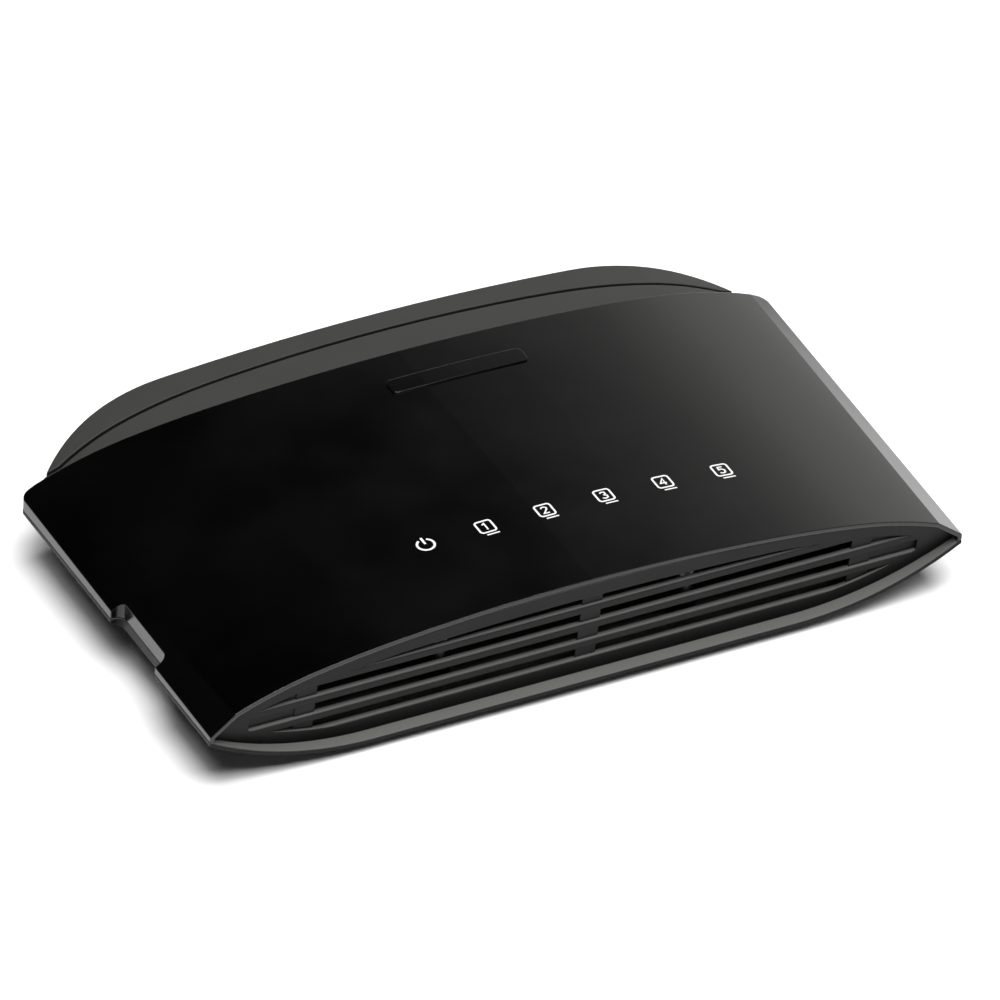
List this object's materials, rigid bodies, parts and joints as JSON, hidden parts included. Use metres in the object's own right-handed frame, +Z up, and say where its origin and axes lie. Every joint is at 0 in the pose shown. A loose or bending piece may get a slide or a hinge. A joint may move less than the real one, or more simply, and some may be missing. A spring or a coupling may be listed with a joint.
{
  "type": "desktop network switch",
  "caption": "Low lens-shaped desktop network switch with a gloss cover, a slatted front grille, a bowed matte rear with cable sockets and a power inlet.",
  "frame": {"origin": "middle of the case's outer box, on the surface that it stands on", "axes": "+X across the case from the notched edge, +Y from the grille to the sockets, +Z up"},
  "size_m": [0.171, 0.101, 0.0288],
  "materials": {
    "board_green": "solder mask",
    "bright_steel": "bright",
    "capacitor_can": "satin",
    "chip_black": "moulded epoxy",
    "chip_tan": "ceramic",
    "contact_gold": "polished",
    "cover_gloss": "polished black",
    "foot_rubber": "matte",
    "guide_clear": "clear",
    "label_film": "satin film",
    "lamp_body": "satin",
    "shell_matte": "fine spark texture",
    "shield_steel": "satin",
    "socket_plastic": "satin"
  },
  "bodies": {
    "root": {"base_shell": "shell_matte", "board_screws": "bright_steel", "capacitor_1": "capacitor_can", "capacitor_2": "capacitor_can", "capacitor_3": "capacitor_can", "case_screws": "bright_steel", "chip_leads": "bright_steel", "crystal": "bright_steel", "front_grille": "shell_matte", "inductor": "chip_black", "jack_pin": "contact_gold", "lamp_1": "lamp_body", "lamp_2": "lamp_body", "lamp_3": "lamp_body", "lamp_4": "lamp_body", "lamp_5": "lamp_body", "lamp_6": "lamp_body", "lan_socket_1": "socket_plastic", "lan_socket_2": "socket_plastic", "lan_socket_3": "socket_plastic", "lan_socket_4": "socket_plastic", "lan_socket_5": "socket_plastic", "light_guide": "guide_clear", "line_transformer_1": "chip_black", "line_transformer_2": "chip_black", "line_transformer_3": "chip_black", "line_transformer_4": "chip_black", "line_transformer_5": "chip_black", "main_board": "board_green", "name_plate": "cover_gloss", "power_jack": "socket_plastic", "rating_label": "label_film", "rear_cap": "shell_matte", "rear_hood": "shell_matte", "regulator": "chip_black", "rubber_foot_1": "foot_rubber", "rubber_foot_2": "foot_rubber", "rubber_foot_3": "foot_rubber", "rubber_foot_4": "foot_rubber", "small_components": "chip_tan", "socket_contacts": "contact_gold", "socket_shield": "shield_steel", "switch_chip": "chip_black", "top_cover": "cover_gloss"}
  },
  "joints": []
}
